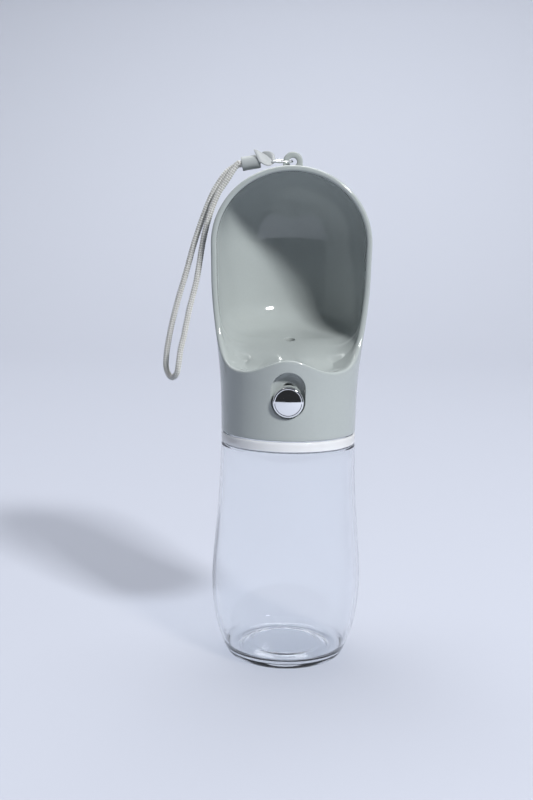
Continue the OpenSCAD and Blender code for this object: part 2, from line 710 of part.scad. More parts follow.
// Folded strip: a fold round the ring's wire, then a quarter twist into the sleeve
module strap_tab() {
    start = [fold_x - fold_bore_r - 0.25, eye_y, eye_z];
    inside = sleeve_near + 2.5 * sleeve_dir;
    // share of the way, half the width, and the twist from level to upright
    stations = [[0, fold_w / 2, 0], [0.12, 2.7, 16], [0.24, 3.4, 44], [0.35, 3.9, 70],
        [0.44, 4, 88], [0.48, 3.9, 90], [0.58, sleeve_r - 0.4, 90], [1, sleeve_r - 0.4, 90]];
    color("darkgray") {
        difference() {
            translate([fold_x, eye_y - fold_w / 2, eye_z]) rotate([-90, 0, 0])
                cylinder(r = fold_r, h = fold_w);
            translate([fold_x, eye_y - fold_w, eye_z]) rotate([-90, 0, 0])
                cylinder(r = fold_bore_r, h = 2 * fold_w);
        }
        skin([for (s = stations)
            let (c = start + s[0] * (inside - start), w = s[1] * [0, cos(s[2]), sin(s[2])],
                t = strip_t / 2 * [0, -sin(s[2]), cos(s[2])])
            [c - w - t, c - w + t, c + w + t, c + w - t]]);
    }
}

// Sleeve that grips both ends of the cord, slit for the strip
module strap_sleeve() {
    color("darkgray") translate(sleeve_near) rotate([0, -90 - sleeve_tilt, 0]) difference() {
        cylinder(r = sleeve_r, h = sleeve_len);
        translate([-sleeve_r - over, -strip_t / 2 - 0.15, -over])
            cube([2 * sleeve_r + 2 * over, strip_t + 0.3, over + 3.6]);
    }
}

// Cord loop: one round tube from the sleeve, round the bottom bend and back to the sleeve
module strap_cord() {
    out = sleeve_far + [0, strand_y, 0];
    back = sleeve_far - [0, strand_y, 0];
    points = concat([out, out + 2.4 * sleeve_dir], cord_route, [back + 2.4 * sleeve_dir, back]);
    color("tan") tube_along(points, cord_r, 8, [0, 1, 0]);
}

bottle();
neck_gasket();
scoop_head();
valve_housing();
valve_body();
body_seal();
body_screws();
stem_seal();
outlet_seal();
valve_end_cap();
valve_stem();
valve_plug();
valve_spring();
lock_carriage();
button_cap();
button_stem();
stem_clip();
strap_ring();
strap_tab();
strap_sleeve();
strap_cord();
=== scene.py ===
import math

import bmesh
import bpy
import numpy as np
from mathutils import Matrix, Vector


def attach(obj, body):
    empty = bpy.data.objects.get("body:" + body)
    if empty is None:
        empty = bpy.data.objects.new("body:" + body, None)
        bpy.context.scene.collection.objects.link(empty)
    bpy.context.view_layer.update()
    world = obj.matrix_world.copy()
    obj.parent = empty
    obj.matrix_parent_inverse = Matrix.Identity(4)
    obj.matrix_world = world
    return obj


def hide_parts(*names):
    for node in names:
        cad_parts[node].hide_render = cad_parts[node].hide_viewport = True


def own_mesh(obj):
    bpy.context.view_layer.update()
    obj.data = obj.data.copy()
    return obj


# Dog travel water bottle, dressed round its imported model. Metres, +Z up, the scoop faces -Y.
# Sizes are written in millimetres and carry this factor.
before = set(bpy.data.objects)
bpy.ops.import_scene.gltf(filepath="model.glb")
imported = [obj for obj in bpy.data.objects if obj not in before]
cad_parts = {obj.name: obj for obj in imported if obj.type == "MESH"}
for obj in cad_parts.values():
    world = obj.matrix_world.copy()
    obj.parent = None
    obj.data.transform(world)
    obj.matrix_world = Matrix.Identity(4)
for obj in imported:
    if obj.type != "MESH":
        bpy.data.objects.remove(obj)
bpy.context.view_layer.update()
MM = 0.001

# Camera. The photograph looks a little down on the bottle from in front, from about half a metre,
# and is tilted by about a degree, so that the bottle leans to the right.
camera_data = bpy.data.cameras.new("camera")
camera_data.sensor_width = 36
camera_data.lens = 47.25
camera_data.clip_start = 0.01
camera = bpy.data.objects.new("camera", camera_data)
camera_place = Vector((3, -527.1, 211.2)) * MM
camera_yaw = math.radians(1.55)
camera_pitch = math.radians(8.6)
camera_roll = math.radians(0.84)
camera.matrix_world = (
    Matrix.Translation(camera_place)
    @ Matrix.Rotation(camera_yaw, 4, "Z")
    @ Matrix.Rotation(math.pi / 2 - camera_pitch, 4, "X")
    @ Matrix.Rotation(camera_roll, 4, "Z")
)
bpy.context.scene.collection.objects.link(camera)
bpy.context.scene.camera = camera


# Sleeve: soft matt grey tube that grips both ends of the cord. Its open end shows a thin wall round
# the two strands, and it tilts down to the left as it hangs from the ring.
def object_from(name, points, faces, smooth=True):
    """A mesh object from points in millimetres, with doubled points merged."""
    mesh = bpy.data.meshes.new(name)
    build = bmesh.new()
    corners = [build.verts.new(Vector(p) * MM) for p in points]
    for face in faces:
        if len(set(face)) > 2:
            build.faces.new([corners[k] for k in face])
    bmesh.ops.remove_doubles(build, verts=build.verts, dist=2e-6)
    bmesh.ops.dissolve_degenerate(build, edges=build.edges, dist=1e-7)
    bmesh.ops.recalc_face_normals(build, faces=build.faces)
    build.to_mesh(mesh)
    build.free()
    if smooth:
        mesh.shade_smooth()
    piece = bpy.data.objects.new(name, mesh)
    bpy.context.scene.collection.objects.link(piece)
    return piece


def grid_faces(rows, columns, first=0, around=False, closed=False):
    """Faces between rows of points. around joins the last row to the first, closed each row's ends."""
    faces = []
    for r in range(rows if around else rows - 1):
        here = first + r * columns
        there = first + (r + 1) % rows * columns
        for c in range(columns if closed else columns - 1):
            after = (c + 1) % columns
            faces.append((here + c, here + after, there + after, there + c))
    return faces


def material(name):
    """A new node material and its Principled shader."""
    made = bpy.data.materials.new(name)
    made.use_nodes = True
    return made, made.node_tree.nodes["Principled BSDF"]


def link(tree, source, socket):
    tree.links.new(source, socket)


def math_node(tree, operation, *values):
    """The output of a Math node whose inputs are numbers or other nodes' outputs."""
    node = tree.nodes.new("ShaderNodeMath")
    node.operation = operation
    for k, value in enumerate(values):
        if isinstance(value, (int, float)):
            node.inputs[k].default_value = value
        else:
            link(tree, value, node.inputs[k])
    return node.outputs[0]


def remapped(tree, value, start=(0, 1), goal=(0, 1), kind="LINEAR"):
    """Another node's output, carried from one range to another."""
    node = tree.nodes.new("ShaderNodeMapRange")
    node.interpolation_type = kind
    for label, end in zip(("From Min", "From Max", "To Min", "To Max"), (*start, *goal)):
        node.inputs[label].default_value = end
    link(tree, value, node.inputs["Value"])
    return node.outputs["Result"]


def mixed_colour(tree, share, low, high):
    """A colour between two, by another node's output."""
    mix = tree.nodes.new("ShaderNodeMix")
    mix.data_type = "RGBA"
    mix.inputs["A"].default_value = (*low, 1)
    mix.inputs["B"].default_value = (*high, 1)
    link(tree, share, mix.inputs["Factor"])
    return mix.outputs["Result"]


def raise_by(tree, height, shader, strength, distance):
    """Bumps a shader's surface by another node's output."""
    raised = tree.nodes.new("ShaderNodeBump")
    raised.inputs["Strength"].default_value = strength
    raised.inputs["Distance"].default_value = distance
    link(tree, height, raised.inputs["Height"])
    link(tree, raised.outputs["Normal"], shader.inputs["Normal"])


def surface_group(name, build):
    """A node group with the inputs Scale and Strength and the outputs Mask and Height."""
    group = bpy.data.node_groups.new(name, "ShaderNodeTree")
    for label, value in (("Scale", 1.0), ("Strength", 1.0)):
        socket = group.interface.new_socket(label, in_out="INPUT", socket_type="NodeSocketFloat")
        socket.default_value = value
    for label in ("Mask", "Height"):
        group.interface.new_socket(label, in_out="OUTPUT", socket_type="NodeSocketFloat")
    build(group, group.nodes.new("NodeGroupInput"), group.nodes.new("NodeGroupOutput"))
    return group


def build_moulded(group, inputs, outputs):
    """Faint waviness and fine specks of injection-moulded plastic."""
    place = group.nodes.new("ShaderNodeTexCoord")
    wave = group.nodes.new("ShaderNodeTexNoise")
    wave.inputs["Detail"].default_value = 2
    fine = group.nodes.new("ShaderNodeTexNoise")
    fine.inputs["Detail"].default_value = 4
    link(group, place.outputs["Object"], wave.inputs["Vector"])
    link(group, place.outputs["Object"], fine.inputs["Vector"])
    link(group, inputs.outputs["Scale"], wave.inputs["Scale"])
    link(group, math_node(group, "MULTIPLY", inputs.outputs["Scale"], 14), fine.inputs["Scale"])
    mixed = math_node(group, "MULTIPLY_ADD", fine.outputs["Fac"], 0.12, wave.outputs["Fac"])
    height = math_node(group, "MULTIPLY", mixed, inputs.outputs["Strength"])
    link(group, fine.outputs["Fac"], outputs.inputs["Mask"])
    link(group, height, outputs.inputs["Height"])


moulded = surface_group("moulded_surface", build_moulded)


def finish_with(made, shader, group, scale, strength, bump, colours=None, rough=None):
    """Places a surface group in a material: its height as bump, its mask as colour or roughness."""
    tree = made.node_tree
    effect = tree.nodes.new("ShaderNodeGroup")
    effect.node_tree = group
    effect.inputs["Scale"].default_value = scale
    effect.inputs["Strength"].default_value = strength
    raise_by(tree, effect.outputs["Height"], shader, bump, 0.2 * MM)
    if colours:
        link(tree, mixed_colour(tree, effect.outputs["Mask"], *colours), shader.inputs["Base Color"])
    if rough:
        link(tree, remapped(tree, effect.outputs["Mask"], goal=rough), shader.inputs["Roughness"])


def spun(origin, along, across, profile, segments, closed=False):
    """Points and faces of a profile of (distance along, radius) turned about an axis."""
    third = np.cross(along, across)
    points = []
    for s in range(segments):
        turn = 2 * math.pi * s / segments
        side = math.cos(turn) * across + math.sin(turn) * third
        points += [origin + t * along + r * side for t, r in profile]
    return points, grid_faces(segments, len(profile), around=True, closed=closed)


right, inward, up = np.eye(3)
tilt = math.radians(10)
sleeve_dir = np.array([-math.cos(tilt), 0, -math.sin(tilt)])
sleeve_near = np.array([-16.35, 7, 250.6])
sleeve_len = 9.2
sleeve_profile = [
    (0, 0), (0, 2.7), (0.08, 3.05), (0.3, 3.3), (0.7, 3.42), (1.6, 3.48), (3.2, 3.42), (5, 3.4),
    (7, 3.44),
    (8.6, 3.5), (9.0, 3.48), (9.16, 3.42), (sleeve_len, 3.34), (9.14, 3.27), (8.9, 3.24), (7.6, 3.22),
    (7.6, 0),
]
sleeve = object_from("strap_sleeve_tube", *spun(sleeve_near, sleeve_dir, inward, sleeve_profile, 72))
sleeve_grey, shader = material("sleeve_grey")
shader.inputs["IOR"].default_value = 1.45
finish_with(
    sleeve_grey, shader, moulded, 260, 1.0, 0.35,
    colours=((0.30, 0.325, 0.33), (0.35, 0.375, 0.38)), rough=(0.5, 0.62),
)
sleeve.data.materials.append(sleeve_grey)
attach(sleeve, "wrist_strap")
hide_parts("strap_sleeve")

# Folded strip: a flat grey band that comes over the front of the sleeve with a sharp corner, twists,
# goes round the ring's wire and returns behind the sleeve.
# Each row: middle of the band, and half its width as a vector.
strip_rows = np.array([
    (-18.2, 3.62, 252.8, -1.4, 0.35, 3.1), (-16.9, 3.7, 252.5, -1.3, 0.45, 3.3),
    (-14.9, 4.2, 251.6, -0.8, 0.7, 3.1), (-12.8, 4.9, 250.7, -0.4, 1.2, 2.6),
    (-10.6, 5.9, 249.9, 0, 2.0, 1.4), (-9.1, 6.8, 250.5, 0.1, 2.3, 0.3),
    (-9.8, 7.5, 252.2, 0.2, 1.7, 1.9), (-11.6, 8.6, 253.0, 0.1, 0.7, 2.5),
    (-14.6, 9.5, 252.9, 0, 0.3, 2.7), (-17.4, 11.0, 251.6, 0, 0, 2.5),
])


def smooth_path(points, steps):
    """Catmull-Rom points through a list of points."""
    points = np.asarray(points, float)
    padded = np.vstack([2 * points[0] - points[1], points, 2 * points[-1] - points[-2]])
    made = []
    for k in range(1, len(padded) - 2):
        a, b, c, d = padded[k - 1 : k + 3]
        for t in np.arange(steps) / steps:
            bend = (2 * a - 5 * b + 4 * c - d) * t**2 + (3 * b - a - 3 * c + d) * t**3
            made.append(0.5 * (2 * b + (c - a) * t + bend))
    made.append(points[-1])
    return np.array(made)


def band_solid(rows, thick):
    """A flat band with rounded edges, from rows of its middle and half-width vectors."""
    sides, flat_power, edge_power = 12, 0.35, 0.6
    middles, widths = rows[:, :3], rows[:, 3:]
    ways = np.gradient(middles, axis=0)
    points = []
    for m, w, way in zip(middles, widths, ways):
        normal = np.cross(way, w)
        normal = normal / np.linalg.norm(normal)
        for k in range(sides):
            a = 2 * math.pi * k / sides
            across = math.copysign(abs(math.cos(a)) ** flat_power, math.cos(a))
            deep = math.copysign(abs(math.sin(a)) ** edge_power, math.sin(a))
            points.append(m + across * w + deep * thick / 2 * normal)
    faces = grid_faces(len(rows), sides, closed=True)
    faces.append(tuple(range(sides)))
    faces.append(tuple(range((len(rows) - 1) * sides, len(rows) * sides)))
    return points, faces


strip_thick = 0.62
strip = object_from("strap_strip", *band_solid(smooth_path(strip_rows, 8), strip_thick))
strip_grey, shader = material("strip_grey")
shader.inputs["IOR"].default_value = 1.45
finish_with(
    strip_grey, shader, moulded, 420, 1.0, 0.4,
    colours=((0.29, 0.31, 0.32), (0.36, 0.38, 0.39)), rough=(0.42, 0.58),
)
strip.data.materials.append(strip_grey)
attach(strip, "wrist_strap")
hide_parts("strap_tab")

# Cord: a round braid of sixteen shiny strands in two tones, folded into one loop whose ends go into
# the sleeve. Geometry Nodes lays the strands over and under each other along the route.
sleeve_far = sleeve_near + sleeve_len * sleeve_dir
strand_y = 1.75 * inward
strand_run = 2.4 * sleeve_dir
cord_route = [
    (-33.4, 8.9, 244.6), (-39.3, 9, 236), (-43.3, 9.1, 227), (-46.8, 9.3, 217.4),
    (-50, 9.6, 207.4), (-53.6, 10.1, 194.4), (-57.4, 10.7, 181.7), (-60.7, 11.4, 169),
    (-63.2, 12.2, 156.5), (-64, 12.4, 148.5), (-63.2, 11.1, 143.8), (-60.4, 7, 141.2),
    (-57.5, 2.9, 143.5), (-56.3, 1.5, 148), (-55.4, 2, 155.5), (-53.5, 2.7, 164),
    (-50.9, 3.4, 177.3), (-47.6, 4, 190.9), (-45.2, 4.5, 205.9), (-43.5, 4.8, 215.1),
    (-40.9, 5, 224.8), (-37.2, 5.1, 234.1), (-32.7, 5.1, 241.1),
]
cord_path = smooth_path([
    sleeve_far + strand_y, sleeve_far + strand_y + strand_run, *cord_route,
    sleeve_far - strand_y + strand_run, sleeve_far - strand_y,
], 12)


def geometry_tree(name, sizes, counts=()):
    """A Geometry Nodes tree with inputs for a route, sizes in metres, counts and a material."""
    tree = bpy.data.node_groups.new(name, "GeometryNodeTree")
    sockets = [("Geometry", "NodeSocketGeometry", None)]
    sockets += [(label, "NodeSocketFloat", size) for label, size in sizes]
    sockets += [(label, "NodeSocketInt", count) for label, count in counts]
    sockets += [("Material", "NodeSocketMaterial", None)]
    for label, kind, value in sockets:
        socket = tree.interface.new_socket(label, in_out="INPUT", socket_type=kind)
        if value is not None:
            socket.default_value = value
    tree.interface.new_socket("Geometry", in_out="OUTPUT", socket_type="NodeSocketGeometry")
    return tree, tree.nodes.new("NodeGroupInput"), tree.nodes.new("NodeGroupOutput")


def circle_curve(tree, radius, corners):
    circle = tree.nodes.new("GeometryNodeCurvePrimitiveCircle")
    circle.inputs["Resolution"].default_value = corners
    link(tree, radius, circle.inputs["Radius"])
    return circle.outputs["Curve"]


def tube_mesh(tree, curve, profile):
    """A profile swept along a curve, with closed ends."""
    tube = tree.nodes.new("GeometryNodeCurveToMesh")
    tube.inputs["Fill Caps"].default_value = True
    link(tree, curve, tube.inputs["Curve"])
    link(tree, profile, tube.inputs["Profile Curve"])
    return tube.outputs["Mesh"]


def end_tree(tree, given, result, mesh, smooth=True):
    """Ends a tree in one plain mesh with its material."""
    whole = tree.nodes.new("GeometryNodeRealizeInstances")
    link(tree, mesh, whole.inputs["Geometry"])
    if smooth:
        soft = tree.nodes.new("GeometryNodeSetShadeSmooth")
        link(tree, whole.outputs["Geometry"], soft.inputs["Geometry"])
        whole = soft
    dressed = tree.nodes.new("GeometryNodeSetMaterial")
    link(tree, whole.outputs["Geometry"], dressed.inputs["Geometry"])
    link(tree, given.outputs["Material"], dressed.inputs["Material"])
    link(tree, dressed.outputs["Geometry"], result.inputs["Geometry"])
    return tree


def braid_tree():
    """Geometry Nodes: strands wound both ways round a filled core, over and under each other."""
    sizes = (("Radius", 0.00108), ("Wave", 0.00015), ("Strand", 0.00036), ("Lay", 0.0095))
    tree, given, result = geometry_tree("braid", sizes, (("Strands", 16), ("Points", 1180)))

    def number(operation, *values):
        return math_node(tree, operation, *values)

    def vector_node(operation, a, b):
        node = tree.nodes.new("ShaderNodeVectorMath")
        node.operation = operation
        link(tree, a, node.inputs[0])
        link(tree, b, node.inputs["Scale" if operation == "SCALE" else 1])
        return node.outputs[0]

    route = tree.nodes.new("GeometryNodeMeshToCurve")
    link(tree, given.outputs["Geometry"], route.inputs["Mesh"])
    length = tree.nodes.new("GeometryNodeCurveLength")
    link(tree, route.outputs["Curve"], length.inputs["Curve"])
    line = tree.nodes.new("GeometryNodeCurvePrimitiveLine")
    cut = tree.nodes.new("GeometryNodeResampleCurve")
    link(tree, line.outputs["Curve"], cut.inputs["Curve"])
    link(tree, given.outputs["Points"], cut.inputs["Count"])
    places = tree.nodes.new("GeometryNodePoints")
    link(tree, given.outputs["Strands"], places.inputs["Count"])
    copies = tree.nodes.new("GeometryNodeInstanceOnPoints")
    link(tree, places.outputs[0], copies.inputs["Points"])
    link(tree, cut.outputs["Curve"], copies.inputs["Instance"])
    real = tree.nodes.new("GeometryNodeRealizeInstances")
    link(tree, copies.outputs["Instances"], real.inputs["Geometry"])
    index = tree.nodes.new("GeometryNodeInputIndex").outputs["Index"]
    count = given.outputs["Points"]
    strand = number("FLOOR", number("DIVIDE", number("ADD", index, 0.5), count))
    step = number("SUBTRACT", index, number("MULTIPLY", strand, count))
    share = number("DIVIDE", step, number("SUBTRACT", count, 1))
    odd = number("FLOORED_MODULO", strand, 2)
    way = number("SUBTRACT", number("MULTIPLY", odd, 2), 1)
    pair = number("FLOOR", number("DIVIDE", strand, 2))
    half = number("DIVIDE", given.outputs["Strands"], 2)
    turns = number("DIVIDE", number("MULTIPLY", share, length.outputs["Length"]), given.outputs["Lay"])
    wound = number("MULTIPLY", turns, 2 * math.pi)
    first = number("MULTIPLY", number("DIVIDE", pair, half), 2 * math.pi)
    angle = number("ADD", first, number("MULTIPLY", wound, way))
    wave = number("COSINE", number("MULTIPLY", wound, half))
    lift = number("MULTIPLY", number("MULTIPLY", wave, way), given.outputs["Wave"])
    out = number("ADD", given.outputs["Radius"], lift)
    sampled = tree.nodes.new("GeometryNodeSampleCurve")
    sampled.mode = "FACTOR"
    sampled.use_all_curves = True
    link(tree, route.outputs["Curve"], sampled.inputs["Curves"])
    link(tree, share, sampled.inputs["Factor"])
    cross = tree.nodes.new("ShaderNodeVectorMath")
    cross.operation = "CROSS_PRODUCT"
    link(tree, sampled.outputs["Tangent"], cross.inputs[0])
    link(tree, sampled.outputs["Normal"], cross.inputs[1])
    one = vector_node("SCALE", sampled.outputs["Normal"], number("MULTIPLY", out, number("COSINE", angle)))
    two = vector_node("SCALE", cross.outputs[0], number("MULTIPLY", out, number("SINE", angle)))
    place = vector_node("ADD", sampled.outputs["Position"], vector_node("ADD", one, two))
    moved = tree.nodes.new("GeometryNodeSetPosition")
    link(tree, real.outputs["Geometry"], moved.inputs["Geometry"])
    link(tree, place, moved.inputs["Position"])
    tone = tree.nodes.new("GeometryNodeStoreNamedAttribute")
    tone.data_type = "FLOAT"
    tone.domain = "POINT"
    tone.inputs["Name"].default_value = "tone"
    link(tree, moved.outputs["Geometry"], tone.inputs["Geometry"])
    link(tree, odd, tone.inputs["Value"])
    strands = tube_mesh(tree, tone.outputs["Geometry"], circle_curve(tree, given.outputs["Strand"], 4))
    core = tube_mesh(tree, route.outputs["Curve"], circle_curve(tree, given.outputs["Radius"], 16))
    whole = tree.nodes.new("GeometryNodeJoinGeometry")
    link(tree, strands, whole.inputs["Geometry"])
    link(tree, core, whole.inputs["Geometry"])
    return end_tree(tree, given, result, whole.outputs["Geometry"])


def grown(name, tree, inputs, source=None):
    """Runs a Geometry Nodes tree and returns its result as a plain mesh object."""
    data = source or bpy.data.meshes.new(name + "_seed")
    seed = bpy.data.objects.new(name + "_seed", data)
    bpy.context.scene.collection.objects.link(seed)
    nodes = seed.modifiers.new("nodes", "NODES")
    nodes.node_group = tree
    for item in tree.interface.items_tree:
        if item.in_out == "INPUT" and item.name in inputs:
            nodes[item.identifier] = inputs[item.name]
    bpy.context.view_layer.update()
    done = seed.evaluated_get(bpy.context.evaluated_depsgraph_get())
    mesh = bpy.data.meshes.new_from_object(done)
    mesh.name = name
    bpy.data.objects.remove(seed)
    piece = bpy.data.objects.new(name, mesh)
    bpy.context.scene.collection.objects.link(piece)
    return piece


braid_yarn, shader = material("braid_yarn")
shader.inputs["Roughness"].default_value = 0.38
shader.inputs["Sheen Weight"].default_value = 0.35
shader.inputs["Sheen Roughness"].default_value = 0.4
tree = braid_yarn.node_tree
tone = tree.nodes.new("ShaderNodeAttribute")
tone.attribute_name = "tone"
fleck = tree.nodes.new("ShaderNodeTexNoise")
fleck.inputs["Scale"].default_value = 900
place = tree.nodes.new("ShaderNodeTexCoord")
link(tree, place.outputs["Object"], fleck.inputs["Vector"])
light = math_node(tree, "MULTIPLY", tone.outputs["Fac"], 0.6)
share = math_node(tree, "MULTIPLY_ADD", fleck.outputs["Fac"], 0.45, light)
yarn_colour = mixed_colour(tree, share, (0.25, 0.25, 0.225), (0.8, 0.81, 0.8))
link(tree, yarn_colour, shader.inputs["Base Color"])
raise_by(tree, fleck.outputs["Fac"], shader, 0.3, 0.1 * MM)
route_mesh = bpy.data.meshes.new("cord_route")
route_mesh.from_pydata(
    [tuple(p * MM) for p in cord_path], [(k, k + 1) for k in range(len(cord_path) - 1)], []
)
cord = grown("strap_cord_braid", braid_tree(), {"Material": braid_yarn}, route_mesh)
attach(cord, "wrist_strap")
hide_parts("strap_cord")

# Bottle: clear blow-moulded plastic, 1.6 mm thick, with a raised disc in its base, a thick shoulder
# band and a threaded neck. One closed shell, so that light bends through both of its faces.
def bezier(points, count, first=0):
    t = np.linspace(0, 1, count + 1)[first:, None]
    a, b, c, d = (np.array(p, float) for p in points)
    return (1 - t) ** 3 * a + 3 * t * (1 - t) ** 2 * b + 3 * t**2 * (1 - t) * c + t**3 * d


def rounded(points, radii, steps=5):
    """A polyline of (r, z) whose inner corners are rounded by the given radii."""
    made = [np.array(points[0], float)]
    for k in range(1, len(points) - 1):
        before, at, after = (np.array(points[m], float) for m in (k - 1, k, k + 1))
        if not radii[k]:
            made.append(at)
            continue
        u, v = before - at, after - at
        lu, lv = np.linalg.norm(u), np.linalg.norm(v)
        u, v = u / lu, v / lv
        half = math.acos(max(-1, min(1, float(u @ v)))) / 2
        reach = min(radii[k] / math.tan(half), 0.48 * lu, 0.48 * lv)
        start, end = at + u * reach, at + v * reach
        for s in range(steps + 1):
            t = s / steps
            made.append((1 - t) ** 2 * start + 2 * t * (1 - t) * at + t**2 * end)
    made.append(np.array(points[-1], float))
    return made


bottle_wall = 1.6
shoulder_z = 116.0
rim_z = 123.2
neck_r, neck_bore_r = 27.4, 25.2
lower_side = [(30, 1.2), (35.6, 12), (38.1, 24), (38.1, 40)]
upper_side = [(38.1, 40), (38.1, 56), (34.6, 74), (34.1, 108)]
side = np.vstack([bezier(lower_side, 20), bezier(upper_side, 26, 1)])
outside = [(0, 2.5), (17.0, 2.5), (18.4, 2.2), (22.2, 0.6), (24, 0), (28.2, 0), *map(tuple, side)]
shoulder = [
    (34.1, 108), (33.9, 109.6), (33.2, 110.1), (33.2, 110.8), (34.0, 111.4), (34.0, shoulder_z),
    (neck_r, shoulder_z), (neck_r, rim_z), (neck_bore_r, rim_z), (neck_bore_r, 114.2),
    (25.8, 113.0), (29.4, 112.4), (32.0, 110.6), (32.5, 107.5),
]
shoulder_rounds = [0, 0.5, 0.4, 0.4, 0.5, 0.7, 0.5, 0.5, 0.5, 1.5, 2, 2, 2, 0]
inside = [(r - bottle_wall, z) for r, z in side[::-1] if 5 < z < 107]
floor_line = [
    tuple(inside[-1]), (30.0, 5.6), (27.6, 3.3), (24, 2.5), (21.8, 2.9), (18.6, 4.4), (17, 4.6), (0, 4.6),
]
profile = (
    [*rounded(outside[:7], [0, 0.8, 0.6, 0.8, 0.6, 1.2, 0])[:-1], *outside[6:-1]]
    + rounded(shoulder, shoulder_rounds)
    + inside[:-1]
    + rounded(floor_line, [0, 2, 2, 1.5, 1.5, 1, 1, 0])
)
bottle = object_from(
    "bottle_shell", *spun(np.zeros(3), up, right, [(z, r) for r, z in profile], 160)
)


def helix_curve(tree, given, rise, steps):
    """A helix from a tree's Radius and Turns and the named input for its rise, with steps a turn."""
    helix = tree.nodes.new("GeometryNodeCurveSpiral")
    helix.inputs["Resolution"].default_value = steps
    for end in ("Start Radius", "End Radius"):
        link(tree, given.outputs["Radius"], helix.inputs[end])
    link(tree, given.outputs[rise], helix.inputs["Height"])
    link(tree, given.outputs["Turns"], helix.inputs["Rotations"])
    return helix.outputs["Curve"]


def thread_tree():
    """Geometry Nodes: a helix with a flat-topped ridge, for the neck's thread."""
    sizes = (("Radius", neck_r * MM), ("Height", 0.0045), ("Turns", 1.5), ("Ridge", 0.001))
    tree, given, result = geometry_tree("thread", sizes)
    ridge = tree.nodes.new("GeometryNodeCurvePrimitiveQuadrilateral")
    ridge.mode = "TRAPEZOID"
    ridge.inputs["Offset"].default_value = 0
    height = given.outputs["Ridge"]
    link(tree, height, ridge.inputs["Height"])
    link(tree, math_node(tree, "MULTIPLY", height, 1.7), ridge.inputs["Bottom Width"])
    link(tree, math_node(tree, "MULTIPLY", height, 0.8), ridge.inputs["Top Width"])
    thread = tube_mesh(tree, helix_curve(tree, given, "Height", 96), ridge.outputs["Curve"])
    return end_tree(tree, given, result, thread, smooth=False)


clear_plastic, shader = material("clear_plastic")
shader.inputs["Base Color"].default_value = (0.965, 0.975, 0.985, 1)
shader.inputs["Roughness"].default_value = 0.02
shader.inputs["IOR"].default_value = 1.46
shader.inputs["Transmission Weight"].default_value = 1
finish_with(clear_plastic, shader, moulded, 40, 0.5, 0.05)
tree = clear_plastic.node_tree
bare = tree.nodes.new("ShaderNodeBsdfTransparent")
bare.inputs["Color"].default_value = (0.93, 0.94, 0.95, 1)
paths = tree.nodes.new("ShaderNodeLightPath")
passing = math_node(tree, "MAXIMUM", paths.outputs["Is Shadow Ray"], paths.outputs["Is Diffuse Ray"])
either = tree.nodes.new("ShaderNodeMixShader")
link(tree, passing, either.inputs["Fac"])
link(tree, shader.outputs["BSDF"], either.inputs[1])
link(tree, bare.outputs["BSDF"], either.inputs[2])
link(tree, either.outputs["Shader"], tree.nodes["Material Output"].inputs["Surface"])
bottle.data.materials.append(clear_plastic)
shoulder_plastic, shader = material("shoulder_plastic")
shader.inputs["Base Color"].default_value = (0.93, 0.935, 0.94, 1)
shader.inputs["Roughness"].default_value = 0.06
shader.inputs["IOR"].default_value = 1.46
shader.inputs["Transmission Weight"].default_value = 0.42
finish_with(shoulder_plastic, shader, moulded, 60, 0.5, 0.05)
bottle.data.materials.append(shoulder_plastic)
band_inner_r, band_low_z, band_high_z = 33.2, 111.2, 116.1
for face in bottle.data.polygons:
    x, y, z = face.center / MM
    if math.hypot(x, y) > band_inner_r and band_low_z < z < band_high_z:
        face.material_index = 1
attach(bottle, "bottle")
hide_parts("bottle")
thread_z = 117.6
thread = grown("bottle_thread", thread_tree(), {"Material": clear_plastic})
thread.data.transform(Matrix.Translation(Vector((0, 0, thread_z)) * MM))
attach(thread, "bottle")

# Head: one glossy grey moulding. Its skirt flares into a domed hood, open in front; the scoop's floor
# waves down to a lip with a hump, and a rounded rim runs round the whole mouth.
head_z, hood_h, dome_r, dome_h, skirt_r = 116.5, 93.5, 40.0, 38.2, 34.0
dome_z = head_z + hood_h
wall = 2.8
dip_z, lip_hump, lip_half_w, lip_rise = head_z + 33.1, 6.2, 22.5, 1.2
hood_y, cheek_d, cheek_h = -4.5, 22.0, 35.4
cheek_y, cheek_z = hood_y - cheek_d, dip_z + cheek_h
floor_z, floor_slope, floor_t, outlet_y, outlet_r = head_z + 45.8, 0.176, 2.7, 5.0, 2.5
rim_round, band, outlet_round = 1.2, 2.6, 0.35
ledge_z, ledge_r, bore_r, bore_top = 126.5, 29.4, 31.0, 145.4


def smooth01(t):
    t = np.clip(t, 0, 1)
    return t * t * (3 - 2 * t)


def head_radius(z):
    flare = smooth01((z - head_z - 17.5) / 60)
    return skirt_r + (dome_r - skirt_r) * (0.31 * (z - head_z) / hood_h + 0.69 * flare)


def lip_height(x):
    return dip_z + lip_hump * (1 + np.cos(np.pi * np.minimum(abs(x), lip_half_w) / lip_half_w)) / 2


def floor_height(x, y):
    back = floor_z + floor_slope * (y - outlet_y)
    weight = smooth01((outlet_y + 3 - y) / 36)
    return back + weight * (lip_height(x) - lip_rise - back)


def bowl_fillet(turn):
    return 6 + 6 * smooth01((0.8 - np.cos(turn)) / 0.6)


def on_wall(turn, z, inset=0.0):
    """A point of the head's side, at an angle from the front and a depth below the surface."""
    turn, z, r = np.broadcast_arrays(turn, z, head_radius(z) - inset)
    return np.stack([r * np.sin(turn), -r * np.cos(turn), z], -1)


def on_dome(turn, rise, inset=0.0):
    """A point of the dome: a ring about the front-to-back axis, and the angle up along it."""
    turn, rise, r = np.broadcast_arrays(turn, rise, dome_r - inset)
    side = r * np.sin(turn)
    up = side * (dome_h - inset) / (dome_r - inset)
    return np.stack([side * np.cos(rise), -r * np.cos(turn), dome_z + up * np.sin(rise)], -1)


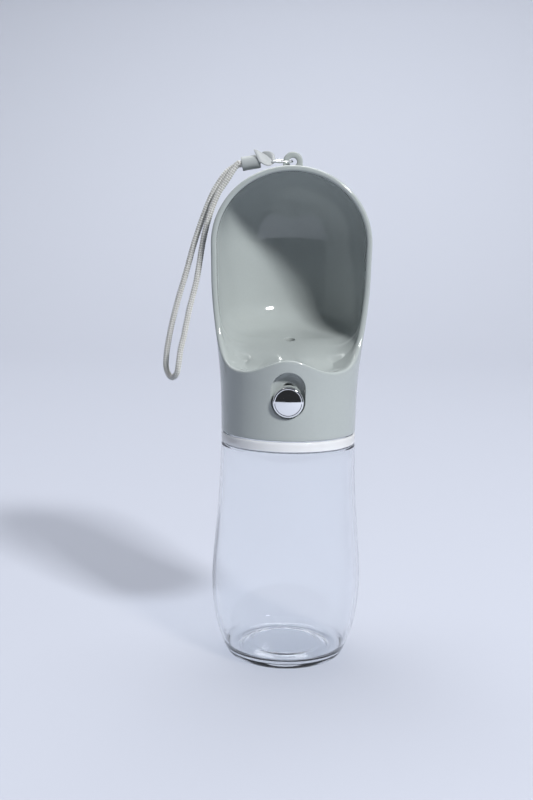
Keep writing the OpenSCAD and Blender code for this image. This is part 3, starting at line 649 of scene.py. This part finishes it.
lip_steps, cheek_steps, back_steps, side_rows = 18, 22, 34, 8
rise_angles = np.radians(np.linspace(0, 90, 31))
upper_z = np.linspace(cheek_z, dome_z, side_rows + 1)


def hood_turn(d):
    return np.arccos(-(hood_y + d) / dome_r)


def mouth_line(d):
    """Angle and height of the lip and cheek, from the middle to the hood, moved d from the rim."""
    d = np.broadcast_to(np.asarray(d, float), (lip_steps + cheek_steps + 2,))
    x = lip_half_w * np.linspace(0, 1, lip_steps + 1)
    z1 = lip_height(x) - d[: lip_steps + 1]
    t1 = np.arcsin(x / head_radius(z1))
    phi = np.linspace(0, np.pi / 2, cheek_steps + 1)
    dc = d[lip_steps + 1 :]
    z2 = cheek_z - (cheek_h + dc) * np.cos(phi)
    t2 = np.arccos(-(cheek_y + (cheek_d + dc) * np.sin(phi)) / head_radius(z2))
    t2 = t2 * (1 + (hood_turn(dc[-1]) / t2[-1] - 1) * np.sin(phi) ** 2)
    return np.concatenate([t1, t2]), np.concatenate([z1, z2])


def wall_floor(turn):
    """Height of the scoop's floor where it would meet the wall."""
    meeting_r = 33.5
    return floor_height(meeting_r * np.sin(turn), -meeting_r * np.cos(turn))


def soft_least(a, b):
    """The lesser of two lengths, with a smooth change from one to the other."""
    return a * b / (a**4 + b**4) ** 0.25


def inner_depth(turn, z):
    """How far the scoop's inside lies below the outer surface: the wall, and the fillet low down."""
    fillet = bowl_fillet(turn)
    high = soft_least(inner_drop, fillet)
    lift = np.clip((z - wall_floor(turn)) / high, 0, 1)
    full = 1 - high / fillet
    angle = np.arccos(1 - lift * (1 - full))
    return wall + fillet * (1 - np.sin(angle) / np.sqrt(1 - full**2))


patches = []


def patch(rows):
    """A grid of points, row by row. Every patch is of the head's right half."""
    patches.append(np.array(rows))


rim_turn, rim_height = mouth_line(0)
inner_drop = rim_height - wall_floor(rim_turn)
inner_round = np.minimum(rim_round, 0.7 * inner_drop)
inner_band = np.minimum(band, 0.92 * inner_drop)
arc = np.radians(np.linspace(0, 90, 7))
mouth_rows, hood_rows, top_rows = [], [], []


def mouth_ring(d_mouth, d_hood, inside, mouth_inset, hood_inset):
    """One ring round the whole mouth, moved from the rim. Its insets go in from the outer surface, or
    out from the scoop's own."""
    turn, z = mouth_line(d_mouth)
    mouth_depth = inner_depth(turn, z) - mouth_inset if inside else mouth_inset
    hood_depth = wall - hood_inset if inside else hood_inset
    mouth_rows.append(on_wall(turn, z, mouth_depth))
    hood_rows.append(on_wall(hood_turn(d_hood), upper_z, hood_depth))
    top_rows.append(on_dome(hood_turn(d_hood), rise_angles, hood_depth))


for d in (band, 1.9):
    mouth_ring(d, d, False, 0, 0)
for a in arc:
    d, inset = rim_round * (1 - np.sin(a)), rim_round * (1 - np.cos(a))
    mouth_ring(d, d, False, inset, inset)
for a in arc:
    across, deep = 1 - np.cos(a), 1 - np.sin(a)
    mouth_ring(inner_round * across, rim_round * across, True, inner_round * deep, rim_round * deep)
for share in (0.5, 1):
    d_mouth = inner_round + share * (inner_band - inner_round)
    mouth_ring(d_mouth, rim_round + share * (band - rim_round), True, 0, 0)
patch(mouth_rows)
patch(hood_rows)
patch(top_rows)

# The outer wall goes on from the rim's band: down to the skirt's edge, and back over the dome
band_turn, band_height = mouth_line(band)
back_turn = np.linspace(hood_turn(band), np.pi, back_steps + 1)
patch([on_wall(t, upper_z) for t in back_turn])
patch([on_dome(t, rise_angles) for t in back_turn])
patch([on_wall(t, upper_z, wall) for t in back_turn])
patch([on_dome(t, rise_angles, wall) for t in back_turn])
edge_round = 0.7
low_z = head_z + edge_round
drop_rows = 26
front_grid = np.array([
    on_wall(band_turn, band_height + (low_z - band_height) * k / drop_rows) for k in range(drop_rows + 1)
])
all_turn = np.concatenate([band_turn, back_turn[1:]])
patch([on_wall(back_turn, cheek_z + (low_z - cheek_z) * k / drop_rows) for k in range(drop_rows + 1)])

# Recess for the button: the outer wall's grid is opened and led into an upright obround pocket
button_z, lock_travel, recess_r, recess_y, boss_y = head_z + 19.2, 6.0, 8.0, -30.59, -29.19
slot_r, slot_chamfer = 2.7, 0.15


def obround(points, r):
    """Where rays from the button's middle place through (x, z) leave an upright obround, and normals."""
    middle = button_z + lock_travel / 2
    half = lock_travel / 2
    found, normals = [], []
    for x, z in points:
        ray = np.array([x, z - middle])
        ray = ray / np.linalg.norm(ray)
        s = r / max(ray[0], 1e-9)
        if s * abs(ray[1]) > half:
            centre = np.array([0, math.copysign(half, ray[1])])
            along = ray @ centre
            s = along + math.sqrt(along**2 - half**2 + r**2)
            normal = (s * ray - centre) / r
        else:
            normal = np.array([1.0, 0.0])
        found.append(s * ray + (0, middle))
        normals.append(normal)
    return np.array(found), np.array(normals)


def opened(grid, columns, top, bottom):
    """Drops a window at the middle of a grid and returns the window's edge, from the top middle round."""
    patch(grid[: top + 1])
    patch(grid[bottom:])
    patch(grid[top : bottom + 1, columns:])
    return np.vstack([
        grid[top, : columns + 1], grid[top + 1 : bottom, columns], grid[bottom, columns::-1],
    ])


recess_edge = opened(front_grid, 10, 1, 22)
edge_flat = recess_edge[:, [0, 2]]
outline, normals = obround(edge_flat, recess_r)
mouth_fillet, foot_fillet = 0.55, 0.5


def wall_y(flat):
    return -np.sqrt(head_radius(flat[:, 1]) ** 2 - flat[:, 0] ** 2)


def raised_points(flat, y):
    return np.stack([flat[:, 0], y + 0 * flat[:, 0], flat[:, 1]], -1)


rings = [recess_edge]
start = outline + mouth_fillet * normals
for share in (0.35, 0.7, 0.92):
    flat = edge_flat * (1 - share) + start * share
    rings.append(raised_points(flat, wall_y(flat)))
for a in np.radians(np.linspace(0, 90, 6)):
    flat = outline + mouth_fillet * (1 - np.sin(a)) * normals
    rings.append(raised_points(flat, wall_y(flat) + mouth_fillet * (1 - np.cos(a))))
side_top = wall_y(outline) + mouth_fillet
for share in (0.4, 0.8):
    rings.append(raised_points(outline, side_top + share * (recess_y - foot_fillet - side_top)))
for a in np.radians(np.linspace(0, 90, 6)):
    flat = outline - foot_fillet * (1 - np.cos(a)) * normals
    rings.append(raised_points(flat, recess_y - foot_fillet * (1 - np.sin(a))))
slot, slot_normals = obround(edge_flat, slot_r)
inner = outline - foot_fillet * normals
for share in (0.4, 0.8):
    rings.append(raised_points(inner * (1 - share) + slot * share, recess_y))
rings.append(raised_points(slot + slot_chamfer * slot_normals, recess_y))
rings.append(raised_points(slot, recess_y + slot_chamfer))
rings.append(raised_points(slot, boss_y))
patch(rings)

# Inside of the scoop below the rim: down the wall, round the fillet and over the floor to the outlet
out = np.stack([np.sin(all_turn), -np.cos(all_turn)], -1) * bore_r - (0, outlet_y)
out = out / np.linalg.norm(out, axis=1)[:, None]
hole = out * outlet_r + (0, outlet_y)
in_turn, in_height = mouth_line(inner_band)
in_turn = np.concatenate([in_turn, back_turn[1:]])
in_height = np.concatenate([in_height, np.full(back_steps, cheek_z)])
fillet = bowl_fillet(in_turn)
base_z = wall_floor(in_turn)
high = soft_least(np.concatenate([inner_drop, np.full(back_steps, 99.0)]), fillet)
full = 1 - high / fillet
widest = np.sqrt(1 - full**2)
straight = np.maximum(in_height - base_z - high, 0)
first_angle = np.arccos(1 - np.clip((in_height - base_z) / high, 0, 1) * (1 - full))
inner_rows = []
for share in np.linspace(0, 1, 19):
    way = share * (straight + fillet * first_angle)
    angle = np.where(way < straight, first_angle, first_angle - (way - straight) / fillet)
    rise = high * (1 - np.cos(angle)) / (1 - full)
    z = np.where(way < straight, in_height - np.minimum(way, straight), base_z + rise)
    row = on_wall(in_turn, z, wall + fillet * (1 - np.sin(angle) / widest))
    if share:
        floor = floor_height(row[:, 0], row[:, 1]) + rise
        row[:, 2] = np.where(way < straight, z, z + (floor - z) * smooth01(share * 1.5))
    inner_rows.append(row)
base = inner_rows[-1][:, :2]
for share in np.linspace(0, 1, 15)[1:]:
    flat = base * (1 - share) + (hole + outlet_round * out) * share
    inner_rows.append(np.column_stack([flat, floor_height(flat[:, 0], flat[:, 1])]))
for a in np.radians((30, 60, 90)):
    flat = hole + outlet_round * (1 - math.sin(a)) * out
    drop = outlet_round * (1 - math.cos(a))
    inner_rows.append(np.column_stack([flat, floor_height(flat[:, 0], flat[:, 1]) - drop]))
inner_rows = np.array(inner_rows)

# Near the lip the inside runs in one sweep from the rim to the floor, and all of it is smoothed a little
last = 24
start, end = inner_rows[0], inner_rows[last]
away = start.copy()
away[: lip_steps + cheek_steps + 2] -= mouth_rows[-3]
reach = np.linalg.norm(end - start, axis=1)[:, None]
leave = away / np.linalg.norm(away, axis=1)[:, None] * reach
arrive = inner_rows[last + 1] - inner_rows[last - 1]
arrive = arrive / np.linalg.norm(arrive, axis=1)[:, None] * reach
t = np.linspace(0, 1, last + 1)[:, None, None]
gentle = (
    (2 * t**3 - 3 * t**2 + 1) * start + (t**3 - 2 * t**2 + t) * leave
    + (3 * t**2 - 2 * t**3) * end + (t**3 - t**2) * arrive
)
near_lip = 1 - smooth01((np.arange(len(in_turn)) - lip_steps) / 14)[None, :, None]
inner_rows[: last + 1] += near_lip * (gentle - inner_rows[: last + 1])
smooth_passes, low, high = 8, 3, 27
for _ in range(smooth_passes):
    middle = inner_rows[low:high]
    middle += 0.25 * (inner_rows[low - 1 : high - 1] + inner_rows[low + 1 : high + 1] - 2 * middle)
patch(inner_rows)

# Hidden side: the skirt's edge and bore, the ledge, the space under the floor and the outlet's boss
tube_top, boss_low, boss_r, tube_r = floor_z - floor_t - 3, floor_z - floor_t - 7, 6.6, 4.28


def bore_ring(r, z):
    ring = np.column_stack([r * np.sin(all_turn), -r * np.cos(all_turn), 0 * all_turn + z])
    if z > ledge_z + 1.9:
        ring[:, 1] = np.maximum(ring[:, 1], boss_y)
    return ring


low_r = head_radius(low_z)
under = [on_wall(all_turn, 0 * all_turn + low_z)]
for a in np.radians((20, 40, 60, 80, 90)):
    under.append(bore_ring(low_r - edge_round * (1 - math.cos(a)), low_z - edge_round * math.sin(a)))
skirt_inside = (
    (bore_r + 0.6, head_z), (bore_r + 0.15, head_z + 0.1), (bore_r, head_z + 0.5), (bore_r, ledge_z - 0.1),
    (bore_r - 0.1, ledge_z), (ledge_r, ledge_z), (ledge_r, ledge_z + 1.8),
)
for r, z in skirt_inside:
    under.append(bore_ring(r, z))
patch(under)
bore = [under[-1]]
for z in np.linspace(ledge_z + 2, bore_top, 20):
    bore.append(bore_ring(bore_r - 0.1, z))
bore = np.array(bore)
slot_edge = opened(bore, 7, 3, 19)
slot_ring = raised_points(obround(slot_edge[:, [0, 2]], slot_r)[0], boss_y)
patch([slot_edge, slot_edge * 0.4 + slot_ring * 0.6, slot_ring])
below = [bore[-1]]
reach = bore_ring(bore_r - 0.4, bore_top)[:, :2]
for share in np.linspace(0, 1, 12):
    flat = reach * (1 - share) + (out * boss_r + (0, outlet_y)) * share
    below.append(np.column_stack([flat, floor_height(flat[:, 0], flat[:, 1]) - floor_t]))
for r, z in ((boss_r, boss_low), (tube_r, boss_low), (tube_r, tube_top + 1), (outlet_r, tube_top + 1)):
    below.append(np.column_stack([out * r + (0, outlet_y), 0 * all_turn + z]))
below.append(inner_rows[-1])
patch(below)


def head_mesh():
    """The patches of the right half and their mirror images."""
    points, faces = [], []
    for side_sign in (1, -1):
        for grid in patches:
            quads = grid_faces(*grid.shape[:2], len(points))
            faces += quads if side_sign > 0 else [quad[::-1] for quad in quads]
            points += [(side_sign * x, y, z) for x, y, z in grid.reshape(-1, 3)]
    return points, faces


def eye_mesh(first):
    """Eye on top of the dome: an upright ring with rounded edges on a foot that widens into the dome."""
    eye_y, eye_z, eye_r, hole_r, steps = 7.0, 250.4, 4.9, 1.95, 72
    half_thick, foot_thick, foot_deep, foot_wide = 1.5, 0.9, 4.6, 0.3
    rows = (
        (0, 0, 0), (0, 0, 0.55), (0, 0.18, 0.85), (0, 0.6, 1), (0.5, 0, 1), (1, -0.55, 1),
        (1, -0.16, 0.88), (1, 0, 0.6), (1, 0, 0),
    )
    rows = rows + tuple((a, b, -c) for a, b, c in rows[-2:0:-1])
    points = []
    for k in range(steps):
        turn = 2 * math.pi * k / steps
        ray = np.array([math.cos(turn), math.sin(turn)])
        rim, hole = eye_r * ray, hole_r * ray
        spread = max(0, -ray[1]) ** 2
        if turn > math.pi:
            low = min(1, -1.6 * ray[1])
            side = math.copysign(min(1, 1.5 * abs(ray[0]) ** 0.8), ray[0])
            rim = np.array([eye_r * (1 + foot_wide * low**3) * side, -foot_deep * low])
        way = (hole - rim) / np.linalg.norm(hole - rim)
        for share, off, deep in rows:
            flat = rim * (1 - share) + hole * share + way * off
            thick = half_thick + foot_thick * spread * (1 - share)
            points.append((flat[0], eye_y + deep * thick, eye_z + flat[1]))
    return points, grid_faces(steps, len(rows), first, around=True, closed=True)


head_points, head_faces = head_mesh()
eye_points, eye_faces = eye_mesh(len(head_points))
head = object_from("head_shell", head_points + eye_points, head_faces + eye_faces)
head_grey, shader = material("head_grey")
shader.inputs["IOR"].default_value = 1.56
finish_with(
    head_grey, shader, moulded, 55, 0.6, 0.06,
    colours=((0.325, 0.357, 0.354), (0.345, 0.377, 0.372)), rough=(0.05, 0.1),
)
head.data.materials.append(head_grey)
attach(head, "head")
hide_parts("scoop_head")

# Screw insert: white plastic collar and deck that screw on the bottle's neck, held in the skirt by a
# bead. Its neck gasket is a soft white ring.
def plain_finish(name, colour, rough, scale, bump=0.12, metal=0.0):
    made, shader = material(name)
    shader.inputs["Metallic"].default_value = metal
    light = tuple(min(1, c * 1.07) for c in colour)
    finish_with(made, shader, moulded, scale, 1.0, bump, colours=(colour, light), rough=(rough, rough + 0.1))
    return made


def dress(node, made):
    """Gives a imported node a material, and leaves its shape as it is."""
    piece = bpy.data.objects[node]
    for place in piece.material_slots:
        place.material = made


insert_white = plain_finish("insert_white", (0.72, 0.73, 0.72), 0.28, 120)
silicone_white = plain_finish("silicone_white", (0.78, 0.79, 0.77), 0.5, 180)
silicone_grey = plain_finish("silicone_grey", (0.12, 0.125, 0.13), 0.5, 180)
dress("valve_housing", insert_white)
dress("neck_gasket", silicone_white)

# Valve body: white plastic block on the deck, with its seal, end cap and O-rings. Four steel screws
# hold it down.
valve_white = plain_finish("valve_white", (0.66, 0.68, 0.68), 0.32, 160)
dress("valve_body", valve_white)
dress("valve_end_cap", valve_white)
dress("body_seal", silicone_white)
dress("outlet_seal", silicone_white)
dress("stem_seal", silicone_grey)
screw_steel = plain_finish("screw_steel", (0.58, 0.58, 0.57), 0.22, 900, 0.25, 1.0)
dress("body_screws", screw_steel)

# Valve stem, plug and return spring: a steel pin with a soft plug on it slides in the valve body. A
# spring wound from steel wire pushes it shut.
stem_steel = plain_finish("stem_steel", (0.62, 0.62, 0.61), 0.16, 700, 0.2, 1.0)
dress("valve_stem", stem_steel)
dress("valve_plug", silicone_white)


def spring_tree():
    """Geometry Nodes: a wire wound into a helix."""
    sizes = (("Radius", 0.0028), ("Length", 0.0101), ("Turns", 5.0), ("Wire", 0.00035))
    tree, given, result = geometry_tree("spring", sizes)
    wire = circle_curve(tree, given.outputs["Wire"], 14)
    return end_tree(tree, given, result, tube_mesh(tree, helix_curve(tree, given, "Length", 64), wire))


spring = grown("valve_spring_wire", spring_tree(), {"Material": stem_steel})
spring_y = -2.25
spring.data.transform(
    Matrix.Translation(Vector((0, spring_y, button_z)) * MM) @ Matrix.Rotation(-math.pi / 2, 4, "X")
)
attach(spring, "valve_plunger")
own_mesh(spring)
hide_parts("valve_spring")

# Lock slide and the button's stem: grey plastic pieces behind the recess, with a steel clip on the
# stem. A thin tongue and a round shield in the head's grey move with the slide and hide its slot.
slide_grey = plain_finish("slide_grey", (0.30, 0.33, 0.33), 0.35, 140)
dress("lock_carriage", slide_grey)
dress("button_stem", slide_grey)
dress("stem_clip", stem_steel)
tongue_half_w, tongue_front, tongue_back = 4, -28.88, -27.9
outline = (
    (-tongue_half_w, tongue_front), (tongue_half_w, tongue_front),
    (tongue_half_w, tongue_back), (-tongue_half_w, tongue_back),
)
tongue_points = [(x, y, z) for z in (141.8, 144.2) for x, y in outline]
tongue_faces = [(3, 2, 1, 0), (4, 5, 6, 7), *((k, (k + 1) % 4, (k + 1) % 4 + 4, k + 4) for k in range(4))]
tongue = object_from("lock_carriage_tongue", tongue_points, tongue_faces, smooth=False)
tongue.data.materials.append(head_grey)
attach(tongue, "lock_slide")

shield_profile = [(0, 7.7), (0, 2.8), (0.15, 2.8), (0.15, 7.6), (0.1, 7.7), (0, 7.7)]
shield = object_from("lock_shield", *spun(
    np.array([0, recess_y, button_z]), -inward, right, shield_profile, 72,
))
shield.data.materials.append(head_grey)
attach(shield, "lock_slide")

# Button: a chromed cap with a rolled edge and a nearly flat face that mirrors the room. It sits on its
# stem in the recess, and it is bare.
cap_y = -33.0
button_profile = [
    (-1.6, 0), (-1.6, 5.5), (0, 5.5), (0, 7.15), (-0.08, 7.32), (-0.3, 7.4), (-2.2, 7.4), (-2.55, 7.34),
    (-2.82, 7.16), (-2.98, 6.9), (-3.04, 6.6), (-3.02, 6.42), (-2.94, 6.32), (-2.96, 6.2), (-3.06, 6.05),
    *[(-3.1 - 0.5 * (1 - (r / 6) ** 2), r) for r in (5.8, 5, 4, 3, 2, 1, 0)],
]
cap = object_from("button_cap_chrome", *spun(
    np.array([0, cap_y, button_z]), inward, right, button_profile, 96,
))
chrome, shader = material("bright_chrome")
shader.inputs["Metallic"].default_value = 1
finish_with(
    chrome, shader, moulded, 300, 0.4, 0.02,
    colours=((0.86, 0.87, 0.88), (0.9, 0.91, 0.92)), rough=(0.03, 0.06),
)
cap.data.materials.append(chrome)
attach(cap, "button")
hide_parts("button_cap")

# Ring: chromed steel wire bent round through the eye and the strip's fold. It hangs a little rolled on
# its side.
ring_middle, ring_r, wire_r, roll = np.array([-5.3, 7, 250.6]), 5.0, 0.6, math.radians(9)
ring_axis = np.array([0, -math.sin(roll), math.cos(roll)])
wire_profile = [
    (wire_r * math.sin(b), ring_r + wire_r * math.cos(b)) for b in np.arange(16) * math.pi / 8
]
ring = object_from("strap_ring_wire", *spun(ring_middle, ring_axis, right, wire_profile, 96, closed=True))
ring_chrome, shader = material("ring_chrome")
shader.inputs["Metallic"].default_value = 1
finish_with(
    ring_chrome, shader, moulded, 500, 0.8, 0.05,
    colours=((0.78, 0.79, 0.8), (0.86, 0.87, 0.88)), rough=(0.08, 0.16),
)
ring.data.materials.append(ring_chrome)
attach(ring, "wrist_strap")
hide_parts("strap_ring")

# Floor and backdrop: one pale bluish sheet of paper that bends up behind. Its colour holds painted light:
# it grows lighter where it is far, in place of the light on the far backdrop. It isn't part of the object.
sweep_front, board, sweep_r, sweep_half_w = -1035, 400, 1900, 4000
flat_rows, bend_rows = 6, 30
sweep_points = []
for k in range(2 * flat_rows + bend_rows + 1):
    a = min(max((k - flat_rows) / bend_rows, 0), 1) * math.pi / 2
    depth = sweep_front + board * min(k, flat_rows) + sweep_r * math.sin(a)
    height = sweep_r * (1 - math.cos(a)) + board * max(k - flat_rows - bend_rows, 0)
    sweep_points += [(-sweep_half_w, depth, height), (sweep_half_w, depth, height)]
sweep = object_from("studio_sweep", sweep_points, grid_faces(len(sweep_points) // 2, 2))
paper, shader = material("studio_paper")
tree = paper.node_tree
place = tree.nodes.new("ShaderNodeTexCoord")
parts = tree.nodes.new("ShaderNodeSeparateXYZ")
link(tree, place.outputs["Object"], parts.inputs[0])
# Painted light: the paper's colour grows lighter with distance, standing in for the light that falls on the
# far backdrop.
distance = remapped(tree, parts.outputs["Y"], start=(-0.2, 3.0))
painted_light_share = math_node(tree, "POWER", distance, 3)
paper_painted_light_colour = mixed_colour(tree, painted_light_share, (0.385, 0.405, 0.463), (0.79, 0.83, 0.93))
link(tree, paper_painted_light_colour, shader.inputs["Base Color"])
shader.inputs["Roughness"].default_value = 0.9
shader.inputs["Specular IOR Level"].default_value = 0.1
sweep.data.materials.append(paper)

# Light: a soft box on the right in front, a wide one over and behind the bottle, and a room that is
# bright at the sides and behind and dark in front, as the chrome button shows.
lamps = (
    ("key_light", (1283, -1597, 1751), (0, 0, 150), 0.42, 0.28, 84.0),
    ("top_light", (-200, 900, 2300), (0, 100, 0), 2.4, 2.0, 62.0),
)
for name, place, aim, width, height, power in lamps:
    data = bpy.data.lights.new(name, "AREA")
    data.shape = "RECTANGLE"
    data.size = width
    data.size_y = height
    data.energy = power
    lamp = bpy.data.objects.new(name, data)
    place = Vector(place) * MM
    lamp.matrix_world = (
        Matrix.Translation(place) @ (Vector(aim) * MM - place).to_track_quat("-Z", "Y").to_matrix().to_4x4()
    )
    bpy.context.scene.collection.objects.link(lamp)
world = bpy.data.worlds.new("room")
world.use_nodes = True
tree = world.node_tree
way = tree.nodes.new("ShaderNodeTexCoord")
parts = tree.nodes.new("ShaderNodeSeparateXYZ")
link(tree, way.outputs["Generated"], parts.inputs[0])
lit = remapped(tree, parts.outputs["Y"], start=(-0.75, 0.1), goal=(0.03, 0.5), kind="SMOOTHSTEP")
back = tree.nodes["Background"]
back.inputs["Color"].default_value = (0.86, 0.9, 1.0, 1)
paths = tree.nodes.new("ShaderNodeLightPath")
seen = math_node(tree, "MULTIPLY", paths.outputs["Is Camera Ray"], 0.62)
shown = math_node(tree, "MULTIPLY_ADD", paths.outputs["Is Transmission Ray"], 0.22, seen)
link(tree, math_node(tree, "MAXIMUM", lit, shown), back.inputs["Strength"])
bpy.context.scene.world = world
bpy.context.scene.view_settings.view_transform = "Standard"

bpy.context.view_layer.update()
